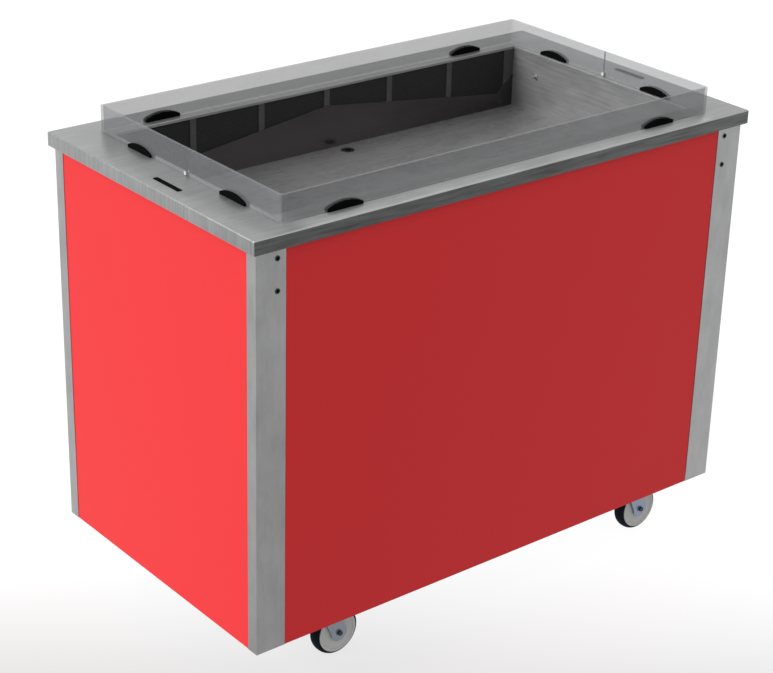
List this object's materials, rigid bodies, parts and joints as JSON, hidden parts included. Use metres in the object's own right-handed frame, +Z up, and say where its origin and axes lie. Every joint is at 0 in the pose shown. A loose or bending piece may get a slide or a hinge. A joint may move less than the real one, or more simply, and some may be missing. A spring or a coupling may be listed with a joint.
{
  "type": "salad bar",
  "caption": "Mobile refrigerated salad bar: stainless worktop with a drop-in chilled well, low clear guard, panelled body and swivel castors.",
  "frame": {"origin": "on the floor under the middle of the worktop", "axes": "+X along the length to the right as the customer sees it, +Y to the staff side, +Z up"},
  "size_m": [1.2, 0.672, 0.972],
  "materials": {
    "stainless": "brushed",
    "liner_steel": "satin",
    "galvanised": "galvanised",
    "red_paint": "powder coat",
    "black_moulding": "moulded",
    "black_rubber": "moulded",
    "clear_acrylic": "clear",
    "white_plastic": "moulded",
    "zinc_plate": "blue zinc",
    "grey_nylon": "moulded",
    "tyre_rubber": "tread",
    "foam_skin": "foam",
    "fins": "finned",
    "copper_pipe": "drawn",
    "red_grip": "dipped",
    "green_rocker": "moulded"
  },
  "bodies": {
    "cabinet": {"worktop": "stainless", "post_front_left": "stainless", "post_front_right": "stainless", "post_back_left": "stainless", "post_back_right": "stainless", "front_panel": "red_paint", "left_panel": "red_paint", "right_panel": "red_paint", "back_panel": "red_paint", "door_hinges": "stainless", "door_catch": "black_moulding", "base_tray": "galvanised", "top_frame": "galvanised", "well_liner": "liner_steel", "air_weir": "liner_steel", "outlet_honeycomb": "black_moulding", "insulation_jacket": "foam_skin", "drain_fitting": "liner_steel", "drain_pipe": "stainless", "temperature_probe": "black_moulding", "slot_plugs": "black_moulding", "guard_front": "clear_acrylic", "guard_back": "clear_acrylic", "guard_clamps": "black_rubber", "seam_buttons": "white_plastic", "evaporator": "fins", "fan_deck": "galvanised", "compressor": "black_moulding", "condenser": "fins", "condenser_shroud": "galvanised", "refrigerant_pipes": "copper_pipe", "control_box": "black_moulding", "mains_inlet": "black_moulding", "rail_inserts": "black_moulding", "castor_plates": "zinc_plate", "castor_bolts": "zinc_plate"},
    "door": {"service_door": "stainless"},
    "valve_lever": {"drain_lever": "red_grip"},
    "duct_rotor": {"circulation_fan": "black_moulding"},
    "condenser_rotor": {"condenser_fan": "black_moulding"},
    "knob": {"thermostat_knob": "grey_nylon"},
    "rocker": {"power_switch": "green_rocker"},
    "swivel_front_left": {"fork_front_left": "zinc_plate", "axle_front_left": "zinc_plate"},
    "roller_front_left": {"wheel_front_left": "grey_nylon", "tyre_front_left": "tyre_rubber"},
    "swivel_front_right": {"fork_front_right": "zinc_plate", "axle_front_right": "zinc_plate"},
    "roller_front_right": {"wheel_front_right": "grey_nylon", "tyre_front_right": "tyre_rubber"},
    "swivel_back_left": {"fork_back_left": "zinc_plate", "axle_back_left": "zinc_plate"},
    "roller_back_left": {"wheel_back_left": "grey_nylon", "tyre_back_left": "tyre_rubber"},
    "swivel_back_right": {"fork_back_right": "zinc_plate", "axle_back_right": "zinc_plate"},
    "roller_back_right": {"wheel_back_right": "grey_nylon", "tyre_back_right": "tyre_rubber"},
    "brake_left": {"brake_pedal_left": "black_moulding"},
    "brake_right": {"brake_pedal_right": "black_moulding"}
  },
  "joints": [
    {"name": "door_hinge", "type": "hinge", "parent": "cabinet", "child": "door", "pos_m": [0.50075, 0.329, 0.415], "axis": [0, 0, -1], "range_deg": [0, 110]},
    {"name": "drain_valve", "type": "hinge", "parent": "cabinet", "child": "valve_lever", "pos_m": [0.031, 0.25, 0.32], "axis": [0, 1, 0], "range_deg": [0, 90]},
    {"name": "duct_fan_spin", "type": "hinge", "parent": "cabinet", "child": "duct_rotor", "pos_m": [0, 0.07, 0.7308], "axis": [0, 1, 0], "continuous": true},
    {"name": "condenser_fan_spin", "type": "hinge", "parent": "cabinet", "child": "condenser_rotor", "pos_m": [0.29, 0.167, 0.244], "axis": [0, 1, 0], "continuous": true},
    {"name": "thermostat_turn", "type": "hinge", "parent": "cabinet", "child": "knob", "pos_m": [-0.36, 0.3315, 0.57], "axis": [0, -1, 0], "range_deg": [0, 270]},
    {"name": "power_rock", "type": "hinge", "parent": "cabinet", "child": "rocker", "pos_m": [-0.47, 0.322, 0.57], "axis": [1, 0, 0], "range_deg": [0, 16]},
    {"name": "swivel_front_left", "type": "hinge", "parent": "cabinet", "child": "swivel_front_left", "pos_m": [-0.403, -0.272, 0.113], "axis": [0, 0, 1], "continuous": true},
    {"name": "roll_front_left", "type": "hinge", "parent": "swivel_front_left", "child": "roller_front_left", "pos_m": [-0.373, -0.272, 0.05], "axis": [0, 1, 0], "continuous": true},
    {"name": "swivel_front_right", "type": "hinge", "parent": "cabinet", "child": "swivel_front_right", "pos_m": [0.403, -0.272, 0.113], "axis": [0, 0, 1], "continuous": true},
    {"name": "roll_front_right", "type": "hinge", "parent": "swivel_front_right", "child": "roller_front_right", "pos_m": [0.433, -0.272, 0.05], "axis": [0, 1, 0], "continuous": true},
    {"name": "swivel_back_left", "type": "hinge", "parent": "cabinet", "child": "swivel_back_left", "pos_m": [-0.403, 0.272, 0.113], "axis": [0, 0, 1], "continuous": true},
    {"name": "roll_back_left", "type": "hinge", "parent": "swivel_back_left", "child": "roller_back_left", "pos_m": [-0.373, 0.272, 0.05], "axis": [0, 1, 0], "continuous": true},
    {"name": "swivel_back_right", "type": "hinge", "parent": "cabinet", "child": "swivel_back_right", "pos_m": [0.403, 0.272, 0.113], "axis": [0, 0, 1], "continuous": true},
    {"name": "roll_back_right", "type": "hinge", "parent": "swivel_back_right", "child": "roller_back_right", "pos_m": [0.433, 0.272, 0.05], "axis": [0, 1, 0], "continuous": true},
    {"name": "brake_left", "type": "hinge", "parent": "swivel_back_left", "child": "brake_left", "pos_m": [-0.329, 0.272, 0.083], "axis": [0, 1, 0], "range_deg": [0, 9]},
    {"name": "brake_right", "type": "hinge", "parent": "swivel_back_right", "child": "brake_right", "pos_m": [0.477, 0.272, 0.083], "axis": [0, 1, 0], "range_deg": [0, 9]}
  ]
}
